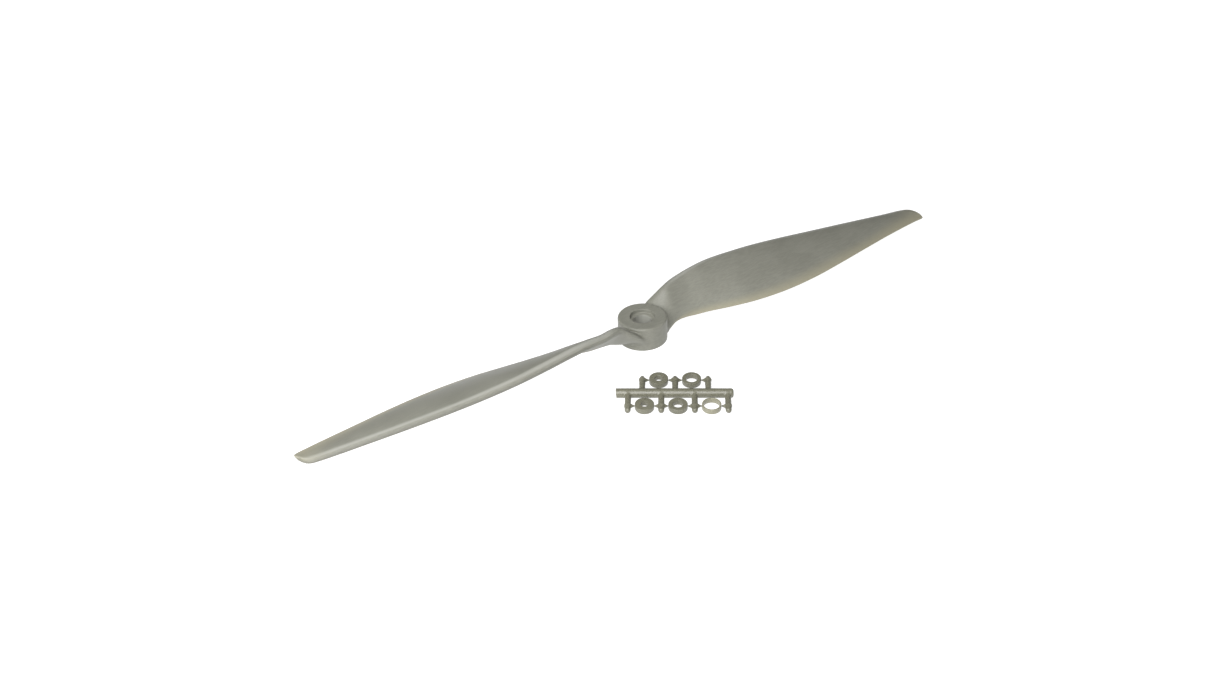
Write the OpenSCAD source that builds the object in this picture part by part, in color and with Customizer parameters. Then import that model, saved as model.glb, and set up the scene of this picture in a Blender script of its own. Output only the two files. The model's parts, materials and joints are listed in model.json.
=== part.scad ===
// Two-blade fixed-pitch model aircraft propeller with its frame of shaft adapter rings.
// Millimetres. Origin: centre of the hub's rear face. +Z: spin axis, pointing to the front.
// +X: along the blades. Each blade meets the air with its raised edge, so seen from the
// front the propeller turns anticlockwise.

/* [Propeller] */

// Diameter of the circle swept by the blade tips
prop_d = 304.8; // [250:0.4:360]
// Multiplies every blade thickness
blade_fat = 1; // [0.9:0.05:1.3]
// Thinnest trailing edge
trail_t = 0.4; // [0.3:0.05:0.6]

/* [Hub] */

// Outside diameter of the hub
hub_d = 20.4; // [19.6:0.2:21]
// Hub thickness along the spin axis
hub_h = 10.4; // [10:0.2:12]
// Radius of the rounded front rim of the hub
hub_rim_r = 0.9; // [0.4:0.1:1.4]
// Bore through the hub, which takes the adapter rings
bore_d = 7.5; // [6.5:0.1:8]
// Diameter of the shallow recess in the front face
recess_d = 10.3; // [9:0.1:12]
// Depth of the recess in the front face
recess_depth = 1.7; // [1:0.1:2.5]

/* [Adapter rings] */

// Outside diameter of every adapter ring
ring_d = 7.5; // [7:0.1:8]
// Height of every adapter ring
ring_h = 2.2; // [1.6:0.1:2.8]
// Small bevel on the ring edges
ring_bevel = 0.15; // [0.05:0.05:0.3]
// Spacing of neighbouring rings along the runner
ring_pitch = 12.9; // [12.5:0.1:14]
// Distance from the runner's centre line to the near row of rings
near_row = 7.7; // [7.5:0.1:9]
// Distance from the runner's centre line to the far row of rings
far_row = 7.9; // [7.5:0.1:9]

/* [Ring frame] */

// Diameter of the round runner
runner_d = 3.8; // [3.4:0.1:4]
// Length of the runner
runner_len = 45.8; // [45:0.2:50]
// Diameter of the posts that stand beside the rings
post_d = 2.5; // [2:0.1:2.8]
// How far the near posts reach past the middle of their rings
near_past = 3.6; // [2.2:0.1:4]
// How far the far posts reach past the middle of their rings
far_past = 2.3; // [2.2:0.1:4]
// Thickness of the gates where they touch a ring
gate_tip_d = 0.6; // [0.4:0.1:1]
// Direction of the runner in the XY plane
frame_angle = -40; // [-44:1:-36]
// How far the frame rolls towards its near row, the heavier one, which rests on the table
frame_lean = 3.6; // [0:0.2:3.6]

/* [Hidden] */

tip_x = prop_d / 2;
hub_r = hub_d / 2;
ring_r = ring_d / 2;
runner_r = runner_d / 2;
mid_z = runner_r;                 // parting plane of the ring frame
frame_at = [-34.3, -25.44, 0];    // left end of the runner
near_first = 11.3;                // first ring of the near row, along the runner
far_first = near_first + 5.4;     // first ring of the far row, nearer the propeller
plastic = [0.53, 0.53, 0.49];
frame_plastic = [0.50, 0.49, 0.43];
$fn = 72;

// Blade stations, from inside the hub to the tip of a 304.8 mm propeller:
// distance from the axis, chord, blade angle, mid-chord y, mid-chord z, thickness, and how
// far the section is still an oval (1) and not yet an aerofoil (0).
BLADE = [
    [  4.5, 11.0, 10,    3.4, 3.4, 4.8,  1.0],
    [  8.5, 16.0, 23,    2.1, 4.5, 5.5,  0.8],
    [ 12.0, 15.7, 41,    2.6, 5.8, 5.4,  0.6],
    [ 16.0, 15.8, 52,    2.4, 8.2, 4.3,  0.4],
    [ 20.5, 17.0, 51,    2.6, 8.9, 3.9,  0.15],
    [ 26.0, 18.8, 46,    2.5, 8.9, 3.8,  0],
    [ 32.0, 20.7, 41,    1.6, 9.3, 3.9,  0],
    [ 41.0, 23.7, 34.3,   0.0, 9.5, 4.0, 0],
    [ 53.0, 26.3, 26.7,  -2.0, 9.2, 3.9, 0],
    [ 67.0, 27.4, 20.9,  -3.7, 8.8, 3.6, 0],
    [ 82.0, 26.2, 16.6,  -5.2, 8.5, 3.2, 0],
    [ 97.0, 23.2, 13.0,  -6.4, 8.3, 2.8, 0],
    [112.0, 19.4, 10.2,  -7.5, 8.1, 2.6, 0],
    [127.0, 15.3,  7.6,  -8.6, 7.8, 2.4, 0],
    [139.0, 12.2,  5.2,  -9.6, 7.5, 2.3, 0],
    [147.0, 10.2,  4.2, -10.3, 7.3, 2.2, 0],
    [150.4,  8.8,  4.2, -11.0, 7.1, 2.1, 0],
    [151.8,  6.4,  4.4, -12.0, 7.0, 1.9, 0],
    [152.4,  3.2,  5.0, -13.3, 6.8, 1.6, 0]
];
LAST = len(BLADE) - 1;

// Where the blade is sliced: close at the root and the tip, wider between them.
SLICES = [for (x = [4.5 : 1.5 : 24]) x, for (x = [27 : 5 : 137]) x,
          140, 143, 146, 148, 149.4, 150.4, 151.2, 151.8, 152.2, 152.4];

// Smooth curve through one column of the blade table.
function slope(i, c) =
    let (a = max(i - 1, 0), b = min(i + 1, LAST))
    (BLADE[b][c] - BLADE[a][c]) / (BLADE[b][0] - BLADE[a][0]);
function span_of(x, i = 0) = (i >= LAST - 1 || BLADE[i + 1][0] >= x) ? i : span_of(x, i + 1);
function blend(x, c, i) =
    let (w = BLADE[i + 1][0] - BLADE[i][0], t = (x - BLADE[i][0]) / w)
    BLADE[i][c] * (1 + 2 * t) * pow(1 - t, 2) + slope(i, c) * w * t * pow(1 - t, 2)
    + BLADE[i + 1][c] * t * t * (3 - 2 * t) - slope(i + 1, c) * w * t * t * (1 - t);
function at(x, c) = blend(x, c, span_of(x));

// Half thickness and camber of a section at s = 0 (leading edge) to 1 (trailing edge). The
// nose is blunt: its rounded part is nose_len long.
camber = 0.04;
nose_len = 2.3;
tail_power = 1.7;
function half_t(s, t, chord, oval) =
    let (nose = min(0.4, nose_len / chord), tail = max(0, (s - nose) / (1 - nose)))
    (1 - oval) * (t / 2 * (s < nose ? sqrt(1 - pow(1 - s / nose, 2)) : 1 - pow(tail, tail_power))
                  + trail_t / 2 * tail)
    + oval * t * sqrt(max(0, s * (1 - s)) + 0.0004 * s);
function camber_at(s) = s < 0.4 ? camber * s * (0.8 - s) / 0.16
                                : camber * (0.2 + 0.8 * s - s * s) / 0.36;

STEPS = 16;
function section(x) =
    let (c = at(x, 1), b = at(x, 2), y = at(x, 3), z = at(x, 4),
         t = at(x, 5) * blade_fat, oval = at(x, 6),
         sides = [for (k = [0 : STEPS]) [k, 1], for (k = [STEPS : -1 : 1]) [k, -1]])
    [for (p = sides)
        let (s = (1 - cos(180 * p[0] / STEPS)) / 2, a = (0.5 - s) * c,
             h = c * camber_at(s) * (1 - oval) + p[1] * half_t(s, t, c, oval))
        [x * tip_x / 152.4, y + a * cos(b) - h * sin(b), z + a * sin(b) + h * cos(b)]];

module blade_solid() {
    n = 2 * STEPS + 1;
    rings = len(SLICES);
    points = [for (x = SLICES) each section(x)];
    skin = [for (r = [0 : rings - 2], k = [0 : n - 1])
        let (a = r * n + k, b = r * n + (k + 1) % n, c = a + n, d = b + n)
        each [[a, b, c], [b, d, c]]];
    root = [[for (k = [n - 1 : -1 : 0]) k]];
    tip = [[for (k = [0 : n - 1]) (rings - 1) * n + k]];
    polyhedron(points, concat(skin, root, tip), convexity = 6);
}

module blade_half() {
    color(plastic) difference() {
        blade_solid();
        translate([0, 0, -10]) cylinder(r = hub_r, h = 50);
    }
}

module blade_1() { blade_half(); }
module blade_2() { rotate([0, 0, 180]) blade_half(); }

// Hub: a plain boss with a rounded front rim, a shallow recess and the ring bore.
module hub() {
    arc = 6;
    rim = [for (k = [0 : arc]) let (a = 90 * k / arc)
        [hub_r - hub_rim_r + hub_rim_r * cos(a), hub_h - hub_rim_r + hub_rim_r * sin(a)]];
    profile = concat(
        [[bore_d / 2, 0], [hub_r - 0.3, 0], [hub_r, 0.3]], rim,
        [[recess_d / 2 + 0.2, hub_h], [recess_d / 2, hub_h - 0.2],
         [recess_d / 2, hub_h - recess_depth + 0.2],
         [recess_d / 2 - 0.2, hub_h - recess_depth], [bore_d / 2, hub_h - recess_depth]]);
    color(plastic) rotate_extrude() polygon(profile);
}

// Places things in the ring frame: s along the runner, t across it.
module in_frame(s, t) {
    translate(frame_at) rotate([0, 0, frame_angle]) translate([0, 0, mid_z])
        rotate([frame_lean, 0, 0]) translate([s, t, 0]) children();
}

module ring(s, t, bore) {
    r = ring_r; h = ring_h / 2; b = ring_bevel; i = bore / 2;
    color(frame_plastic) in_frame(s, t) rotate_extrude()
        polygon([[i, -h], [r - b, -h], [r, b - h], [r, h - b], [r - b, h], [i, h]]);
}

module ring_eighth_inch() { ring(far_first, far_row, 3.18); }
module ring_three_sixteenths() { ring(far_first + ring_pitch, far_row, 4.76); }
module ring_3mm() { ring(near_first, -near_row, 3); }
module ring_4mm() { ring(near_first + ring_pitch, -near_row, 4); }
module ring_quarter_inch() { ring(near_first + 2 * ring_pitch, -near_row, 6.35); }

// A post beside the rings, with a tapered gate on each side given in SIDES.
module post(s, up, sides) {
    post_r = post_d / 2;
    row = up ? far_row : -near_row;
    reach = up ? far_row + far_past : near_row + near_past;
    in_frame(s, 0) rotate([up ? -90 : 90, 0, 0]) {
        cylinder(r = post_r, h = reach - post_r);
        translate([0, 0, reach - post_r]) sphere(r = post_r);
    }
    for (side = sides) difference() {
        in_frame(s, row) rotate([0, 90 * side, 0])
            cylinder(r1 = post_r * 0.98, r2 = gate_tip_d / 2, h = ring_pitch / 2 - ring_r + 0.1);
        in_frame(s + side * ring_pitch / 2, row)
            translate([0, 0, -5]) cylinder(r = ring_r, h = 10);
    }
}

module ring_frame() {
    half = ring_pitch / 2;
    color(frame_plastic) {
        in_frame(0, 0) rotate([0, 90, 0]) {
            cylinder(r1 = runner_r * 0.75, r2 = runner_r, h = 1);
            translate([0, 0, 1]) cylinder(r = runner_r, h = runner_len - 1 - runner_r);
            translate([0, 0, runner_len - runner_r]) sphere(r = runner_r);
        }
        post(far_first - half, true, [1]);
        post(far_first + half, true, [-1, 1]);
        post(far_first + 3 * half, true, [-1]);
        post(near_first - half, false, [1]);
        post(near_first + half, false, [-1, 1]);
        post(near_first + 3 * half, false, [-1, 1]);
        post(near_first + 5 * half, false, [-1]);
    }
}

hub();
blade_1();
blade_2();
ring_frame();
ring_3mm();
ring_eighth_inch();
ring_4mm();
ring_three_sixteenths();
ring_quarter_inch();
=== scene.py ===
"""Looks of the propeller and its ring frame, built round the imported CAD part.

The object's shapes are worked out in millimetres and become metres when a mesh is made.
The stage is in metres.
"""

import json
import math

import bmesh
import bpy
import numpy as np
from mathutils import Matrix, Vector
from mathutils.geometry import delaunay_2d_cdt


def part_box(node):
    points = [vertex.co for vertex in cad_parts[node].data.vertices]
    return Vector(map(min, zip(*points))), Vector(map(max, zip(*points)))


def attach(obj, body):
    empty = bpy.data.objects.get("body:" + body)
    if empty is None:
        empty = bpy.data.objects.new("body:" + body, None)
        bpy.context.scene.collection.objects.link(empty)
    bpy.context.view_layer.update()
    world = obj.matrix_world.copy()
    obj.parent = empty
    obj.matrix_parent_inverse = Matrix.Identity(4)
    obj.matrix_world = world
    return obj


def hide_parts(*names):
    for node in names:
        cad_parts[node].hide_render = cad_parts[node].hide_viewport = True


MM = 0.001
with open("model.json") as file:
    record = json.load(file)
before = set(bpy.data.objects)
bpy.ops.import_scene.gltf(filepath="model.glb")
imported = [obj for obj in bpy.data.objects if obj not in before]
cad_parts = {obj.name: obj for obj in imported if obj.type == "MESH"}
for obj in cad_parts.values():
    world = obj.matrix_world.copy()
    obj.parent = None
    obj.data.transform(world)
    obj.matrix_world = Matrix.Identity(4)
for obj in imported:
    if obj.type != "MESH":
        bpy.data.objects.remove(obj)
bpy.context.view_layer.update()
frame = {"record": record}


# ---------------------------------------------------------------- sizes, in mm

def centre_and_size(node):
    """The middle and the size of a CAD node's box."""
    low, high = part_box(node)
    return (low + high) / 2 / MM, (high - low) / MM


HUB_R = centre_and_size("hub")[1].x / 2
HUB_H = centre_and_size("hub")[1].z
TIP_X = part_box("blade_1")[1].x / MM
MOUNT_R = {m["name"]: m["dims"].get("r_mm") for m in frame["record"]["mounts"]}
BORE_R = MOUNT_R["shaft_bore"]
RECESS_R = MOUNT_R["front_recess"]
RECESS_Z = HUB_H - 1.7            # floor of the recess
RIM_R = 0.9                       # rounded front rim of the hub
FOOT_R = 0.3                      # rounded rear rim of the hub
CORNER_R = 0.3                    # rounded corner between the recess's wall and floor
SOFT_R = 0.25                     # the other rounded edges of the recess and the bore
HUB_SEGMENTS = 180

RINGS = ["ring_3mm", "ring_4mm", "ring_quarter_inch", "ring_eighth_inch",
         "ring_three_sixteenths"]
RING_R = BORE_R                   # the rings press into the hub's bore
RING_H = 2.2
RING_EDGE, RING_LIP = 0.15, 0.12  # rounding outside, and round the hole
RING_SEGMENTS = 96

NEAR_ROW, FAR_ROW = 7.7, 7.9      # from the runner's centre line to each row of rings
NEAR_FIRST = 11.3                 # first ring of the near row, along the runner
FAR_SHIFT = 5.4                   # how much further along the far row starts
RUNNER_R = 1.9
RUNNER_LEN = 45.8
RUNNER_EDGE = 1.0                 # rounding of the runner's far end
RUNNER_CUT, CUT_SLOPE = 0.2, 0.1  # where the near end is cut off, and how far it slants
POST_R = 1.25
NECK_R = 0.94 * POST_R            # the narrowest part of a post
NECK_IN = 2.4                     # from the neck out to the middle of the rings
HEAD_R = 1.3                      # where the gates leave a post
NEAR_TIP_R, FAR_TIP_R = 1.15, 0.9     # rounded end of a post
NEAR_PAST, FAR_PAST = 3.6, 2.3    # how far a post reaches past the middle of the rings
GATE_R = 0.3                      # where a gate meets its ring
GATE_BITE = 0.02                  # how far a gate's end goes into its ring
NET_STEP = 0.16                   # cell size of the frame's mesh
NET_LOW, NET_HIGH = 0.3, 0.5      # room round the frame in its grid of cells
FRAME_T = 2.0                     # thickness given to points of the frame


# ---------------------------------------------------------------- the blade's shape, in mm

# distance from the axis, chord, blade angle, mid-chord y, mid-chord z, thickness, oval share
BLADE = np.array([
    [4.5, 11.0, 10, 3.4, 3.4, 4.8, 1.0],
    [8.5, 16.0, 23, 2.1, 4.5, 5.5, 0.8],
    [12.0, 15.7, 41, 2.6, 5.8, 5.4, 0.6],
    [16.0, 15.8, 52, 2.4, 8.2, 4.3, 0.4],
    [20.5, 17.0, 51, 2.6, 8.9, 3.9, 0.15],
    [26.0, 18.8, 46, 2.5, 8.9, 3.8, 0],
    [32.0, 20.7, 41, 1.6, 9.3, 3.9, 0],
    [41.0, 23.7, 34.3, 0.0, 9.5, 4.0, 0],
    [53.0, 26.3, 26.7, -2.0, 9.2, 3.9, 0],
    [67.0, 27.4, 20.9, -3.7, 8.8, 3.6, 0],
    [82.0, 26.2, 16.6, -5.2, 8.5, 3.2, 0],
    [97.0, 23.2, 13.0, -6.4, 8.3, 2.8, 0],
    [112.0, 19.4, 10.2, -7.5, 8.1, 2.6, 0],
    [127.0, 15.3, 7.6, -8.6, 7.8, 2.4, 0],
    [139.0, 12.2, 5.2, -9.6, 7.5, 2.3, 0],
    [147.0, 10.2, 4.2, -10.3, 7.3, 2.2, 0],
    [150.4, 8.8, 4.2, -11.0, 7.1, 2.1, 0],
    [151.8, 6.4, 4.4, -12.0, 7.0, 1.9, 0],
    [152.4, 3.2, 5.0, -13.3, 6.8, 1.6, 0],
])
CAMBER = 0.04                     # height of the mid-line's crest, as a share of the chord
CREST = 0.4                       # where the crest is, as a share of the chord
NOSE_LEN = 2.3                    # length of the rounded nose
NOSE_MOST = 0.4                   # the nose takes at most this share of the chord
TAIL_POWER = 1.7                  # a higher power keeps the blade thick for longer
TRAIL_T = 0.4                     # thickness of the trailing edge
TRAIL_ROUND = 0.008               # length of that edge's rounding, as a share of the chord
TRAIL_BLUNT = 0.3                 # 0 rounds it to a point, and 1 leaves it square
OVAL_END = 0.0004                 # keeps an oval section slightly open at its end
SEAM_ROOT, SEAM_TIP = 0.3, 0.7    # parting line, raised a little and painted as a highlight, as a share of the nose's length
SEAM_SHIFT = (45, 105)            # between these distances it goes from one to the other
SEAM_WIDE = 0.38                  # width of the line, in the same share
SEAM_HIGH = 0.05                  # how far the line stands proud
SEAM_FADES_IN = (14, 24)          # where the line starts beside the hub
NOSE_SHADE_FADES_IN = (25, 45)         # where the painted shade on the lower half of the nose starts
NOSE_SHADE_FADE = 1.5                  # how soon the painted shade below the line is full, in widths of the line
NOSE_SHADE_UNDER = 0.25                 # how far the painted shade reaches under the blade, as a share of the chord
SIDE = 36                         # points along each side of a section
SOLID = 9.0                       # thickness given to points of the hub and the root fillets
TIP_LIGHT_THROUGH, TIP_LIGHT_THROUGH_SPAN = 0.5, (115, 150)     # the tip counts as this much thinner, for more painted light through it, and where


def ramp(value, start, end):
    """0 up to start, 1 past end, and a straight line between them."""
    return np.clip((value - start) / (end - start), 0, 1)


def along(x, column):
    """Smooth value of one column of BLADE at distance x from the axis."""
    xs, ys = BLADE[:, 0], BLADE[:, column]
    slopes = np.empty(len(xs))
    slopes[1:-1] = (ys[2:] - ys[:-2]) / (xs[2:] - xs[:-2])
    slopes[0] = (ys[1] - ys[0]) / (xs[1] - xs[0])
    slopes[-1] = (ys[-1] - ys[-2]) / (xs[-1] - xs[-2])
    i = np.clip(np.searchsorted(xs, x) - 1, 0, len(xs) - 2)
    w = xs[i + 1] - xs[i]
    t = (x - xs[i]) / w
    return (ys[i] * (1 + 2 * t) * (1 - t) ** 2 + slopes[i] * w * t * (1 - t) ** 2
            + ys[i + 1] * t * t * (3 - 2 * t) - slopes[i + 1] * w * t * t * (1 - t))


def section_shares():
    """(s, side) round a section: s is 0 at the leading edge and 1 at the trailing edge."""
    bend = np.linspace(0, math.pi, SIDE + 1)
    s = (1 - np.cos(bend)) / 2
    top = [(v, 1) for v in s]
    under = [(v, -1) for v in s[-1:0:-1]]
    return np.array(top + under)


SHARES = section_shares()
ROUND = len(SHARES)


def nose_share(chord):
    """How much of the chord the rounded nose takes."""
    return np.minimum(NOSE_MOST, NOSE_LEN / chord)


def half_thickness(s, thick, chord, oval):
    """Half the thickness at share s of the chord: a blunt nose, then a taper to a thin edge."""
    nose = nose_share(chord)
    front = np.clip(1 - s / nose, 0, 1)
    tail = np.clip((s - nose) / (1 - nose), 0, 1)
    foil = (thick / 2 * np.where(s < nose, np.sqrt(1 - front ** 2), 1 - tail ** TAIL_POWER)
            + TRAIL_T / 2 * tail)
    foil = foil * np.sqrt(np.clip((1 - s) / TRAIL_ROUND + TRAIL_BLUNT, 0, 1))
    ellipse = thick * np.sqrt(np.clip(s * (1 - s), 0, None) + OVAL_END * s)
    return (1 - oval) * foil + oval * ellipse


def seam_and_painted_light(x, s, side):
    """1 on the mould's parting line along the nose, raised a little and painted as a highlight; 0
    above it and down to -1 below it, for painted shade.
    """
    seam_at = SEAM_ROOT + (SEAM_TIP - SEAM_ROOT) * ramp(x, *SEAM_SHIFT)
    off = (s / nose_share(along(x, 1)) - seam_at) / SEAM_WIDE
    line = np.where(side > 0, np.exp(-off * off), 0)
    nose_shade = np.where(side > 0, ramp(-off, 0, NOSE_SHADE_FADE), 1 - ramp(s, 0, NOSE_SHADE_UNDER))
    return line * ramp(x, *SEAM_FADES_IN) - nose_shade * (1 - line) * ramp(x, *NOSE_SHADE_FADES_IN)


def blade_point(x, s, side):
    """Points of the blade's skin and how much plastic lies behind, for arrays x, s, side; near the
    tip it counts as thinner, for more painted light through it.
    """
    chord, turn, thick = along(x, 1), np.radians(along(x, 2)), along(x, 5)
    oval = np.clip(along(x, 6), 0, 1)
    rise = CAMBER * np.where(s < CREST, s * (2 * CREST - s) / CREST ** 2,
                             (1 - 2 * CREST + 2 * CREST * s - s * s) / (1 - CREST) ** 2)
    half = (half_thickness(s, thick, chord, oval)
            + SEAM_HIGH * np.clip(seam_and_painted_light(x, s, side), 0, 1))
    a = (0.5 - s) * chord
    h = chord * rise * (1 - oval) + side * half
    y = along(x, 3) + a * np.cos(turn) - h * np.sin(turn)
    z = along(x, 4) + a * np.sin(turn) + h * np.cos(turn)
    # near the tip the plastic counts as thinner, so more painted light shows through it
    depth = np.where(s < CREST, thick, 2 * half) * (1 - TIP_LIGHT_THROUGH * ramp(x, *TIP_LIGHT_THROUGH_SPAN))
    return np.stack([x * TIP_X / BLADE[-1, 0], y, z], -1), depth


# ---------------------------------------------------------------- the propeller's mesh

MERGE = 2e-6                      # points of a mesh nearer than this become one, in metres
ROOT_END = 20                     # every line along the blade has left the hub by here
LOFT_START = 24.0                 # from here out, each row of points lies at one distance
LOFT_JOINS = 17                   # rows from the end of the fillet to there
LOFT_STOPS = np.concatenate([np.arange(25, 141), np.arange(140.5, 150.1, 0.5),
                             [150.6, 151.1, 151.5, 151.8, 152.05, 152.25]])
FILLET_W, LEAD_FILLET_W = 0.9, 2.2    # width of the root's fillet, and at the leading edge
LEAD_ANGLES = (35, 60)            # where round the hub it widens, in degrees
FILLET_OUT = 1.2                  # how far out along the blade it ends, in its widths
WALL_HANDLE, BLADE_HANDLE = 0.6, 0.45     # where the handles of its curve lie, as shares
FILLET_ROWS = 9
WALL_MARGIN = 0.05                # the fillet stays this far from the hub's rounded rims
WALL_ROWS = 27
WALL_CLEAR = 0.16                 # points of the wall's grid stay this far from the fillet


class Skin:
    """Collects points, faces and two values for each point before they become one mesh."""

    def __init__(self):
        self.points, self.faces, self.values, self.painted_light_values = [], [], [], []

    def add(self, points, values, painted_light_values=0.0):
        """Takes points with their thickness and painted-light values; returns the first one's
        index.
        """
        first = len(self.points)
        self.points.extend(map(tuple, points))
        self.values.extend(np.broadcast_to(values, len(points)))
        self.painted_light_values.extend(np.broadcast_to(painted_light_values, len(points)))
        return first

    def strips(self, first, rows, count):
        """Quads between neighbouring closed rows of count points."""
        for r in range(rows - 1):
            for k in range(count):
                a, b = first + r * count + k, first + r * count + (k + 1) % count
                self.faces.append((a, b, b + count, a + count))


def wall_point(theta, z):
    """Points on the hub's round wall."""
    return np.stack([HUB_R * np.cos(theta), HUB_R * np.sin(theta), z + 0 * theta], -1)


def root_loop():
    """Where each line along the blade leaves the hub's wall: its distance x."""
    fine = np.linspace(BLADE[0, 0], ROOT_END, 600)
    s, side = SHARES.T
    grid, _ = blade_point(fine[:, None] + 0 * s, s + 0 * fine[:, None], side)
    inside = np.hypot(grid[..., 0], grid[..., 1]) < HUB_R
    return np.array([fine[np.where(inside[:, j])[0][-1]] for j in range(ROUND)])


def root_fillet():
    """Rows of points from the hub's wall out to the blade, and the loop on the wall."""
    s, side = SHARES.T
    x_start = root_loop()
    meet, _ = blade_point(x_start, s, side)
    theta, z = np.arctan2(meet[:, 1], meet[:, 0]), meet[:, 2]
    flat = np.stack([HUB_R * theta, z], -1)
    way = np.roll(flat, -1, 0) - np.roll(flat, 1, 0)
    out = np.stack([way[:, 1], -way[:, 0]], -1) / np.linalg.norm(way, axis=1)[:, None]
    if np.sum(out * (flat - flat.mean(0))) < 0:
        out = -out
    lead = ramp(np.degrees(theta), *LEAD_ANGLES)
    width = FILLET_W + (LEAD_FILLET_W - FILLET_W) * lead * lead * (3 - 2 * lead)
    spread = flat + out * width[:, None]
    spread[:, 1] = np.clip(spread[:, 1], FOOT_R + WALL_MARGIN, HUB_H - RIM_R - WALL_MARGIN)
    guide = spread + WALL_HANDLE * (flat - spread)
    on_wall = wall_point(spread[:, 0] / HUB_R, spread[:, 1])
    on_wall_2 = wall_point(guide[:, 0] / HUB_R, guide[:, 1])
    x_end = x_start + FILLET_OUT * width
    off_2, _ = blade_point(x_start + BLADE_HANDLE * (x_end - x_start), s, side)
    off, _ = blade_point(x_end, s, side)
    rows = [(1 - t) ** 3 * on_wall + 3 * t * (1 - t) ** 2 * on_wall_2
            + 3 * t * t * (1 - t) * off_2 + t ** 3 * off
            for t in np.linspace(0, 1, FILLET_ROWS)]
    return rows, x_end, spread


def blade_rows():
    """All rows of points from the hub's wall to the tip, with the thickness at each."""
    s, side = SHARES.T
    rows, x_end, spread = root_fillet()
    thick = [np.full(ROUND, SOLID) for _ in rows]
    stops = [x_end + (LOFT_START - x_end) * t for t in np.linspace(0, 1, LOFT_JOINS + 1)[1:]]
    stops += [np.full(ROUND, x) for x in LOFT_STOPS]
    for x in stops:
        row, depth = blade_point(x, s, side)
        rows.append(row)
        thick.append(depth)
    tip, depth = blade_point(np.full(ROUND, BLADE[-1, 0]), s, side)
    middle = (tip + tip[np.r_[0, ROUND - 1:0:-1]]) / 2
    rows.append(middle + 0.5 * (tip - middle))
    thick.append(depth)
    return rows, thick, spread


def add_blade(skin, rows, thick, turn):
    """One blade, turned about the axis, with faces across its tip."""
    spin = np.array([[math.cos(turn), -math.sin(turn), 0],
                     [math.sin(turn), math.cos(turn), 0], [0, 0, 1]])
    points = np.concatenate(rows)
    s, side = np.tile(SHARES.T, len(rows))
    first = skin.add(points @ spin.T, np.concatenate(thick), seam_and_painted_light(points[:, 0], s, side))
    skin.strips(first, len(rows), ROUND)
    last = first + (len(rows) - 1) * ROUND
    top, under = list(range(1, SIDE)), list(range(ROUND - 1, SIDE, -1))
    skin.faces.append((last, last + top[0], last + under[0]))
    for a, b, c, d in zip(top[:-1], top[1:], under[1:], under[:-1]):
        skin.faces.append((last + a, last + b, last + c, last + d))
    skin.faces.append((last + top[-1], last + SIDE, last + under[-1]))


def inside_loop(points, loop):
    """True where a 2D point is inside a closed loop."""
    hit = np.zeros(len(points), bool)
    for a, b in zip(loop, np.roll(loop, -1, 0)):
        cross = (a[1] > points[:, 1]) != (b[1] > points[:, 1])
        gap = b[1] - a[1] if b[1] != a[1] else 1e-12
        hit ^= cross & (points[:, 0] < a[0] + (points[:, 1] - a[1]) / gap * (b[0] - a[0]))
    return hit


def add_hub_wall(skin, spread):
    """The hub's round wall, unrolled, with an opening where each blade's fillet starts."""
    length = 2 * math.pi * HUB_R
    start = -length / 4
    low, high = FOOT_R, HUB_H - RIM_R
    loops = [spread, spread + [length / 2, 0]]
    along_wall = start + np.linspace(0, length, HUB_SEGMENTS + 1)
    up_wall = np.linspace(low, high, WALL_ROWS)
    grid = np.array([(u, z) for z in up_wall for u in along_wall])
    edge = (np.isclose(grid[:, 1], low) | np.isclose(grid[:, 1], high)
            | np.isclose(grid[:, 0], start) | np.isclose(grid[:, 0], start + length))
    keep = np.ones(len(grid), bool)
    for loop in loops:
        near = np.min(np.linalg.norm(grid[:, None] - loop[None], axis=2), 1) < WALL_CLEAR
        keep &= edge | ~(inside_loop(grid, loop) | near)
    points = [Vector(p) for p in grid[keep]]
    edges = []
    for loop in loops:
        first = len(points)
        points.extend(Vector(p) for p in loop)
        edges.extend((first + k, first + (k + 1) % len(loop)) for k in range(len(loop)))
    flat, _, faces, *_ = delaunay_2d_cdt(points, edges, [], 0, 1e-7)
    flat = np.array([tuple(p) for p in flat])
    middles = np.array([flat[list(f)].mean(0) for f in faces])
    gone = inside_loop(middles, loops[0]) | inside_loop(middles, loops[1])
    first = skin.add(wall_point(flat[:, 0] / HUB_R, flat[:, 1]), SOLID)
    for f, dropped in zip(faces, gone):
        if not dropped:
            skin.faces.append(tuple(first + k for k in f))


def arc(r, z, size, start, end, steps):
    """Points of a rounded edge in a turned profile; angles in degrees from outward."""
    return [(r + size * math.cos(math.radians(a)), z + size * math.sin(math.radians(a)))
            for a in np.linspace(start, end, steps + 1)]


def between(start, end, points):
    """Evenly spaced values from start to end, without those two."""
    return np.linspace(start, end, points + 2)[1:-1]


def hub_profile():
    """Turned outline of the hub from the top of its wall, over the front, down the bore."""
    top, floor, soft = HUB_H, RECESS_Z, SOFT_R
    outline = arc(HUB_R - RIM_R, top - RIM_R, RIM_R, 0, 90, 9)
    outline += [(r, top) for r in between(HUB_R - RIM_R, RECESS_R + soft, 5)]
    outline += arc(RECESS_R + soft, top - soft, soft, 90, 180, 5)
    outline += arc(RECESS_R - CORNER_R, floor + CORNER_R, CORNER_R, 0, -90, 4)
    outline += arc(BORE_R + soft, floor - soft, soft, 90, 180, 5)
    outline += [(BORE_R, z) for z in between(floor - soft, soft, 6)]
    outline += arc(BORE_R + soft, soft, soft, 180, 270, 4)
    outline += [(r, 0) for r in between(BORE_R + soft, HUB_R - FOOT_R, 4)]
    outline += arc(HUB_R - FOOT_R, FOOT_R, FOOT_R, -90, 0, 4)
    return outline


def turned(outline, segments):
    """Rows of points, one per outline point, turned about the Z axis."""
    angles = -math.pi / 2 + np.arange(segments) * 2 * math.pi / segments
    return [np.stack([r * np.cos(angles), r * np.sin(angles), z + 0 * angles], -1)
            for r, z in outline]


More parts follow.
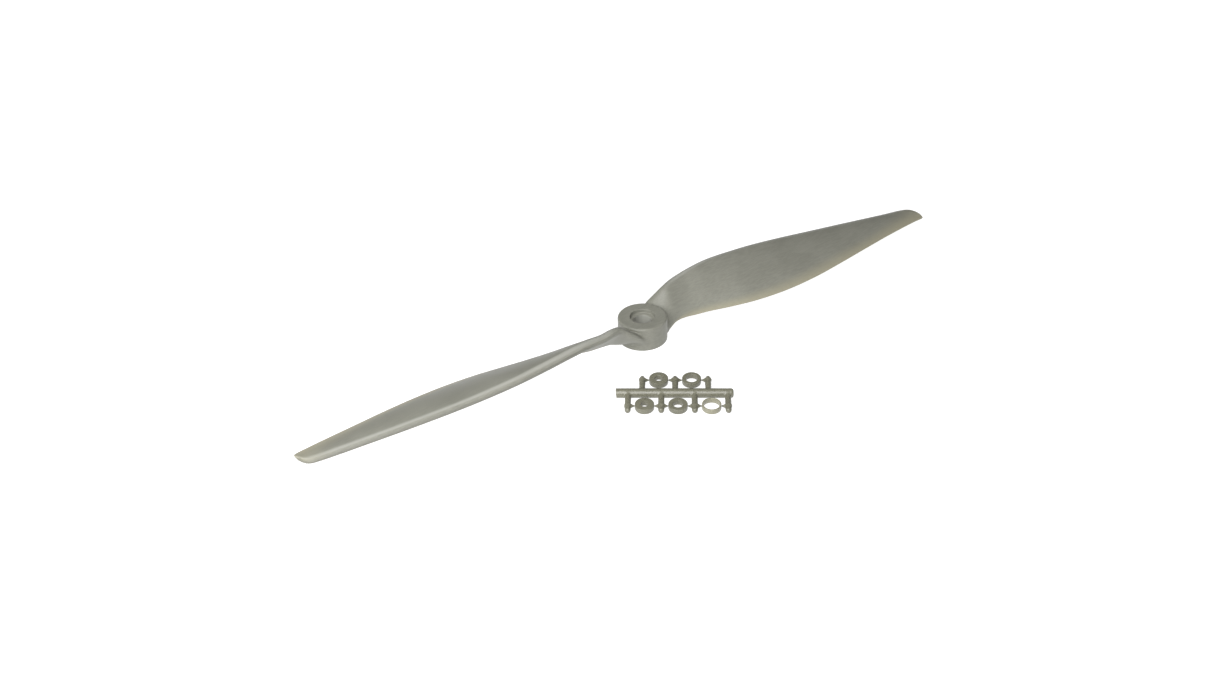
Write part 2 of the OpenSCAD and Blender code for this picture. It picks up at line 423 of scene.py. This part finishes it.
def mesh_piece(name, skin, material, body):
    """Makes the skin one object in metres that rides on a body."""
    mesh = bpy.data.meshes.new(name)
    mesh.from_pydata([tuple(c * MM for c in p) for p in skin.points], [], skin.faces)
    for label, values in (("thickness", skin.values), ("painted_light", skin.painted_light_values)):
        mesh.attributes.new(label, "FLOAT", "POINT").data.foreach_set(
            "value", np.array(values, np.float32))
    bm = bmesh.new()
    bm.from_mesh(mesh)
    bmesh.ops.remove_doubles(bm, verts=bm.verts, dist=MERGE)
    bmesh.ops.recalc_face_normals(bm, faces=bm.faces)
    bm.to_mesh(mesh)
    bm.free()
    mesh.shade_smooth()
    mesh.materials.append(material)
    piece = bpy.data.objects.new(name, mesh)
    bpy.context.scene.collection.objects.link(piece)
    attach(piece, body)
    return piece


def build_propeller(material):
    """The hub and both blades as one mesh; the bore gets the parting line's painted highlight
    colour, as painted light on its wall.
    """
    skin = Skin()
    rows, thick, spread = blade_rows()
    add_blade(skin, rows, thick, 0)
    add_blade(skin, rows, thick, math.pi)
    add_hub_wall(skin, spread)
    outline = hub_profile()
    rings = turned(outline, HUB_SEGMENTS)
    # the bore is painted paler, as light on its wall
    bore_lit = [r < BORE_R + 0.01 for r, _ in outline]
    first = skin.add(np.concatenate(rings), SOLID, np.repeat(bore_lit, HUB_SEGMENTS))
    skin.strips(first, len(rings), HUB_SEGMENTS)
    piece = mesh_piece("propeller", skin, material, "propeller")
    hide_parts("hub", "blade_1", "blade_2")


# ---------------------------------------------------------------- the adapter rings, in mm

def frame_axes():
    """Spacing of the rings, and the frame's axes: along the runner, across it, and up."""
    first, last, far = (centre_and_size(n)[0] for n in (RINGS[0], RINGS[2], RINGS[3]))
    step = (last - first) / 2
    ahead = Vector((step.x, step.y, 0)).normalized()
    lean = math.asin((far.z - first.z) / (NEAR_ROW + FAR_ROW))
    level = Vector((-ahead.y, ahead.x, 0))
    across = level * math.cos(lean) + Vector((0, 0, math.sin(lean)))
    return step.length, np.array([ahead, across, ahead.cross(across)])


PITCH, AXES = frame_axes()


def build_ring(name, material):
    """One adapter ring: a turned band with softened edges, riding on its own body."""
    middle = centre_and_size(name)[0]
    outer, bore, high = RING_R, MOUNT_R[name + "_bore"], RING_H / 2
    edge, lip = RING_EDGE, RING_LIP
    outline = arc(outer - edge, high - edge, edge, 0, 90, 4)
    outline += [(r, high) for r in between(outer - edge, bore + lip, 2)]
    outline += arc(bore + lip, high - lip, lip, 90, 180, 3)
    outline += [(bore, z) for z in between(high - lip, lip - high, 4)]
    outline += arc(bore + lip, lip - high, lip, 180, 270, 3)
    outline += [(r, -high) for r in between(bore + lip, outer - edge, 2)]
    outline += arc(outer - edge, edge - high, edge, -90, 0, 4)
    rows = turned(outline + outline[:1], RING_SEGMENTS)
    skin = Skin()
    # the ring's wall thickness sets how much painted light shows through it
    first = skin.add(np.concatenate(rows) @ AXES + np.array(middle), outer - bore)
    skin.strips(first, len(rows), RING_SEGMENTS)
    piece = mesh_piece(name + "_moulded", skin, material,
                       "adapter_" + name.removeprefix("ring_"))
    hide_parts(name)


# ---------------------------------------------------------------- the ring frame, in mm

NECK_FILLET, TIP_FILLET = 0.3, 0.2    # where the lengths of a post run into each other
GATE_FILLET, POST_FILLET = 0.5, 0.6   # where a gate leaves its post, and a post the runner


def soft_min(a, b, reach):
    """Union of two distances, with a fillet about as wide as reach."""
    h = np.clip(0.5 + 0.5 * (b - a) / reach, 0, 1)
    return b + (a - b) * h - reach * h * (1 - h)


def tapered(points, a, b, r_a, r_b):
    """Distance to a rod from a to b with rounded ends, whose radius goes from r_a to r_b."""
    a, way = np.array(a), np.subtract(b, a)
    share = np.clip((points - a) @ way / (way @ way), 0, 1)
    return np.linalg.norm(points - a - share[..., None] * way, axis=-1) - (
        r_a + (r_b - r_a) * share)


def post_distance(points, s, is_far, sides):
    """A post with a rounded end, and a gate to the ring on each side in sides."""
    way, row, past, tip_r = ((1, FAR_ROW, FAR_PAST, FAR_TIP_R) if is_far
                             else (-1, NEAR_ROW, NEAR_PAST, NEAR_TIP_R))
    neck = (s, way * (row - NECK_IN), 0)
    head = (s, way * row, 0)
    tip = (s, way * (row + past - tip_r), 0)
    found = tapered(points, (s, 0, 0), neck, POST_R, NECK_R)
    found = soft_min(found, tapered(points, neck, head, NECK_R, HEAD_R), NECK_FILLET)
    found = soft_min(found, tapered(points, head, tip, HEAD_R, tip_r), TIP_FILLET)
    gate_len = PITCH / 2 - RING_R - GATE_R + GATE_BITE
    for side in sides:
        gate = tapered(points, head, (s + side * gate_len, head[1], 0), HEAD_R, GATE_R)
        found = soft_min(found, gate, GATE_FILLET)
    return found


def runner_distance(points):
    """A round rod, cut off at its near end and rounded at its far end."""
    out = np.hypot(points[..., 1], points[..., 2]) - RUNNER_R + RUNNER_EDGE
    past = points[..., 0] - RUNNER_LEN + RUNNER_EDGE
    rod = (np.hypot(np.maximum(out, 0), np.maximum(past, 0)) - RUNNER_EDGE
           + np.minimum(np.maximum(out, past), 0))
    return np.maximum(rod, RUNNER_CUT - points[..., 0] - CUT_SLOPE * points[..., 2])


def frame_distance(points):
    """Distance to the whole frame, which has a post before, between and after its rings.

    Points are along the runner, across it, and up.
    """
    found = runner_distance(points)
    for is_far, rings in ((True, 2), (False, 3)):
        first = NEAR_FIRST + FAR_SHIFT if is_far else NEAR_FIRST
        for k in range(rings + 1):
            sides = [-1] * (k > 0) + [1] * (k < rings)
            post = post_distance(points, first + (k - 0.5) * PITCH, is_far, sides)
            found = soft_min(found, post, POST_FILLET)
    return found


def surface_net(distance, low, high, step):
    """Closed quad mesh where distance(points) is zero, one point per mixed cell of a grid."""
    axes = [np.arange(a, b, step) for a, b in zip(low, high)]
    grid = np.stack(np.meshgrid(*axes, indexing="ij"), -1)
    value = distance(grid)
    inside = value < 0
    cells = np.array(value.shape) - 1
    total, count = np.zeros((*cells, 3)), np.zeros(cells, int)
    quads = []
    for axis in range(3):
        ahead = [slice(None)] * 3
        behind = [slice(None)] * 3
        ahead[axis], behind[axis] = slice(1, None), slice(None, -1)
        a, b = value[tuple(behind)], value[tuple(ahead)]
        crossing = (a < 0) != (b < 0)
        where = np.argwhere(crossing)
        share = a[crossing] / (a[crossing] - b[crossing])
        point = grid[tuple(where.T)]
        point[:, axis] += share * step
        one, two = (k for k in range(3) if k != axis)
        ring = []
        for d_one, d_two in ((1, 1), (0, 1), (0, 0), (1, 0)):
            cell = where.copy()
            cell[:, one] -= d_one
            cell[:, two] -= d_two
            np.add.at(total, tuple(cell.T), point)
            np.add.at(count, tuple(cell.T), 1)
            ring.append(cell)
        flip = inside[tuple(where.T)] ^ (axis == 1)
        quads.append((np.stack(ring, 1), flip))
    used = count > 0
    index = np.full(cells, -1)
    index[used] = np.arange(used.sum())
    points = total[used] / count[used][:, None]
    faces = []
    for ring, flip in quads:
        corner = index[ring[..., 0], ring[..., 1], ring[..., 2]]
        corner[flip] = corner[flip][:, ::-1]
        faces.extend(map(tuple, corner.tolist()))
    return settle_on(distance, points), faces


def settle_on(distance, points, reach=0.02):
    """Moves points along the slope of distance until they lie where it is zero."""
    for _ in range(2):
        slope = np.stack([distance(points + reach * axis) - distance(points - reach * axis)
                          for axis in np.eye(3)], -1) / (2 * reach)
        points = points - (distance(points) / np.sum(slope ** 2, -1))[:, None] * slope
    return points


def build_frame(material):
    """The runner, its posts and their gates as one mesh."""
    low = np.array([0, -(NEAR_ROW + NEAR_PAST), -RUNNER_R])
    high = np.array([RUNNER_LEN, FAR_ROW + FAR_PAST, RUNNER_R])
    points, faces = surface_net(frame_distance, low - NET_LOW, high + NET_HIGH, NET_STEP)
    start = (np.array(centre_and_size(RINGS[0])[0])
             - AXES[0] * NEAR_FIRST + AXES[1] * NEAR_ROW)
    skin = Skin()
    skin.add(start + points @ AXES, FRAME_T)
    skin.faces = faces
    piece = mesh_piece("ring_frame_moulded", skin, material, "frame")
    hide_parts("ring_frame")


# ---------------------------------------------------------------- materials

CLOUD_MM, STREAK_MM, GRAIN_MM = 14.0, 0.5, 0.22   # size of each kind of patch
BUMP_HEIGHT = 0.02 * MM
THINNEST = 0.3                    # plastic this thin, in mm, has its painted light-through colour in full
PAINTED_HIGHLIGHT = (0.34, 0.34, 0.31)        # painted highlight along the nose's parting line, and painted light in the bore
NOSE_SHADE = (0.13, 0.13, 0.11)         # painted shade below the parting line, on the lower half of the nose
PAINTED_HIGHLIGHT_MIX, NOSE_SHADE_MIX = 0.6, 0.5    # how much of each colour is mixed in
NOISE_LOW, NOISE_HIGH = 0.3, 0.7  # most of a noise lies between these


class Graph:
    """Builds a material's nodes: an input is either a value or another node's output."""

    def __init__(self, name):
        self.material = bpy.data.materials.new(name)
        self.material.use_nodes = True
        self.tree = self.material.node_tree
        self.shader = self.tree.nodes["Principled BSDF"]
        self.place = self.add("TexCoord").outputs["Object"]

    def add(self, kind, inputs=(), **settings):
        """A new node of a kind, with its inputs fed and its settings made."""
        node = self.tree.nodes.new("ShaderNode" + kind)
        for key, value in settings.items():
            setattr(node, key, value)
        self.feed(node, dict(inputs))
        return node

    def feed(self, node, inputs):
        """Links an input where its value is another node's output, and else sets it."""
        for key, value in inputs.items():
            if isinstance(value, bpy.types.NodeSocket):
                self.tree.links.new(value, node.inputs[key])
            else:
                node.inputs[key].default_value = value

    def noise(self, size_mm, detail, stretch=(1, 1, 1)):
        """Cloudy noise whose patches are about size_mm across, drawn out by stretch."""
        scaled = self.add("Mapping", {"Vector": self.place,
                                      "Scale": [1 / (size_mm * MM * k) for k in stretch]})
        return self.add("TexNoise", {"Vector": scaled.outputs[0], "Scale": 1.0,
                                     "Detail": detail}).outputs["Fac"]

    def spread(self, value, low, high, to_low, to_high):
        """A value moved from one range to another, with soft ends."""
        return self.add("MapRange", {"Value": value, "From Min": low, "From Max": high,
                                     "To Min": to_low, "To Max": to_high},
                        interpolation_type="SMOOTHSTEP").outputs["Result"]

    def sway(self, noise, amount):
        """Noise as a change of up to amount either way."""
        return self.spread(noise, NOISE_LOW, NOISE_HIGH, -amount, amount)

    def total(self, *values):
        """The sum of some values."""
        found = values[0]
        for value in values[1:]:
            found = self.add("Math", {0: found, 1: value}, operation="ADD").outputs[0]
        return found

    def mix(self, share, first, second):
        """Colours first and second mixed by share."""
        node = self.add("Mix", {"Factor": share, 6: first, 7: second}, data_type="RGBA")
        return node.outputs[2]

    def point_value(self, name):
        """One of the values that mesh_piece gives each point."""
        return self.add("Attribute", attribute_name=name).outputs["Fac"]


def moulded(name, dark, light, lit_through, lit_through_from, stretch, shine, rough):
    """Satin glass-filled nylon: cloudy grey, fibre streaks, fine grain; painted light through thin
    plastic, a painted highlight on the nose's parting line and in the bore, and painted shade below
    that line.
    """
    graph = Graph(name)
    clouds = graph.noise(CLOUD_MM, 3.0)
    streaks = graph.noise(STREAK_MM, 2.0, stretch)
    grain = graph.noise(GRAIN_MM, 1.0)
    tone = graph.total(graph.sway(clouds, 0.25), graph.sway(streaks, 0.3),
                       graph.sway(grain, 0.15), 0.5)
    body = graph.mix(tone, (*dark, 1), (*light, 1))
    # painted light shining through thin plastic: paler and warmer where it is thin
    edge = graph.spread(graph.point_value("thickness"), THINNEST, lit_through_from, 1.0, 0.0)
    painted_light = graph.point_value("painted_light")
    # painted highlight: paler along the parting line of the nose and in the bore
    highlighted = graph.mix(graph.spread(painted_light, 0.0, 1.0, 0.0, PAINTED_HIGHLIGHT_MIX), body, (*PAINTED_HIGHLIGHT, 1))
    with_light_through = graph.mix(edge, highlighted, (*lit_through, 1))
    # painted shade: darker below the parting line, on the lower half of the nose
    nose_shade = graph.spread(painted_light, -1.0, 0.0, NOSE_SHADE_MIX, 0.0)
    height = graph.total(graph.spread(streaks, 0.2, 0.8, 0.0, 0.6), grain)
    bump = graph.add("Bump", {"Strength": 0.35, "Distance": BUMP_HEIGHT, "Height": height})
    graph.feed(graph.shader, {
        "Base Color": graph.mix(nose_shade, with_light_through, (*NOSE_SHADE, 1)),
        "Specular IOR Level": shine,
        "Roughness": graph.total(graph.sway(clouds, 0.04), graph.sway(streaks, 0.05), rough),
        "Normal": bump.outputs["Normal"],
    })
    return graph.material


# ---------------------------------------------------------------- light and camera

WHITE = (1, 1, 1, 1)
FLOOR_HALF = 12.0                 # half the floor's width
FLOOR_GLOW, FLOOR_GREY = 0.95, 0.3    # the floor's own light, and what it sends back
SKY_FRONT = Vector((-0.3, -0.75, 0.55)).normalized()     # towards the sky's brightest part
SKY_LEVELS = {"From Min": -0.6, "From Max": 0.9, "To Min": 0.11, "To Max": 0.4}
KEY = {"place": (-0.29, -0.14, 0.31), "size": (0.45, 0.45), "watts": 3.35}
STRIP = {"place": (-0.2, -0.3, 0.5), "size": (0.4, 0.06), "watts": 0.4}
CAMERA_PLACE = (-0.3165, -0.3942, 0.3440)
CAMERA_ANGLES = (-37.09, 34.22, -1.744)   # azimuth, height and roll, in degrees
CAMERA_LENS, CAMERA_SENSOR = 43.9, 36     # in mm


def set_floor():
    """A white light table: mostly its own glow, and a little of the light that falls on it."""
    mesh = bpy.data.meshes.new("floor")
    corners = [(FLOOR_HALF * x, FLOOR_HALF * y, 0) for x, y in ((-1, -1), (1, -1), (1, 1), (-1, 1))]
    mesh.from_pydata(corners, [], [(0, 1, 2, 3)])
    floor = bpy.data.objects.new("floor", mesh)
    bpy.context.scene.collection.objects.link(floor)
    material = bpy.data.materials.new("floor_white")
    material.use_nodes = True
    tree = material.node_tree
    tree.nodes.clear()
    glow = tree.nodes.new("ShaderNodeEmission")
    glow.inputs["Color"].default_value = WHITE
    glow.inputs["Strength"].default_value = FLOOR_GLOW
    matt = tree.nodes.new("ShaderNodeBsdfDiffuse")
    matt.inputs["Color"].default_value = (FLOOR_GREY, FLOOR_GREY, FLOOR_GREY, 1)
    both = tree.nodes.new("ShaderNodeAddShader")
    output = tree.nodes.new("ShaderNodeOutputMaterial")
    tree.links.new(glow.outputs[0], both.inputs[0])
    tree.links.new(matt.outputs[0], both.inputs[1])
    tree.links.new(both.outputs[0], output.inputs["Surface"])
    mesh.materials.append(material)


def set_sky():
    """Soft light from all round, brightest from above the front of the object."""
    world = bpy.data.worlds.new("studio")
    world.use_nodes = True
    tree = world.node_tree
    back = tree.nodes["Background"]
    back.inputs["Color"].default_value = WHITE
    where = tree.nodes.new("ShaderNodeTexCoord")
    front = tree.nodes.new("ShaderNodeVectorMath")
    front.operation = "DOT_PRODUCT"
    front.inputs[1].default_value = SKY_FRONT
    level = tree.nodes.new("ShaderNodeMapRange")
    for key, value in SKY_LEVELS.items():
        level.inputs[key].default_value = value
    level.interpolation_type = "SMOOTHSTEP"
    tree.links.new(where.outputs["Generated"], front.inputs[0])
    tree.links.new(front.outputs["Value"], level.inputs["Value"])
    tree.links.new(level.outputs["Result"], back.inputs["Strength"])
    bpy.context.scene.world = world


def add_lamp(name, place, size, watts):
    """A rectangular lamp that points at the hub and isn't seen itself."""
    data = bpy.data.lights.new(name, "AREA")
    data.shape = "RECTANGLE"
    data.size, data.size_y = size
    data.energy = watts
    lamp = bpy.data.objects.new(name, data)
    lamp.visible_camera = False
    bpy.context.scene.collection.objects.link(lamp)
    turn = Vector(place).to_track_quat("Z", "Y").to_matrix().to_4x4()
    lamp.matrix_world = Matrix.Translation(place) @ turn


def set_stage():
    set_floor()
    set_sky()
    add_lamp("key", **KEY)
    add_lamp("strip", **STRIP)
    bpy.context.scene.view_settings.view_transform = "Standard"


def set_camera():
    """Looks down on the object from the left of its front, rolled slightly."""
    data = bpy.data.cameras.new("camera")
    camera = bpy.data.objects.new("camera", data)
    bpy.context.scene.collection.objects.link(camera)
    azimuth, height, roll = (math.radians(a) for a in CAMERA_ANGLES)
    back = Vector((math.sin(azimuth) * math.cos(height), -math.cos(azimuth) * math.cos(height),
                   math.sin(height)))
    level = Vector((math.cos(azimuth), math.sin(azimuth), 0))
    upright = back.cross(level)
    right = level * math.cos(roll) + upright * math.sin(roll)
    up = upright * math.cos(roll) - level * math.sin(roll)
    turn = Matrix((right, up, back)).transposed().to_4x4()
    camera.matrix_world = Matrix.Translation(CAMERA_PLACE) @ turn
    data.sensor_width = CAMERA_SENSOR
    data.lens = CAMERA_LENS
    data.clip_start, data.clip_end = 0.01, 20
    bpy.context.scene.camera = camera


grey = moulded("propeller_plastic", dark=(0.17, 0.17, 0.143), light=(0.21, 0.21, 0.178),
               lit_through=(0.275, 0.26, 0.19), lit_through_from=1.6, stretch=(8, 1, 1), shine=0.3,
               rough=0.44)
olive = moulded("frame_plastic", dark=(0.12, 0.117, 0.085), light=(0.16, 0.156, 0.115),
                lit_through=(0.26, 0.25, 0.18), lit_through_from=1.2, stretch=(1, 1, 1), shine=0.6,
                rough=0.3)
build_propeller(grey)
build_frame(olive)
for ring in RINGS:
    build_ring(ring, olive)
set_stage()
set_camera()
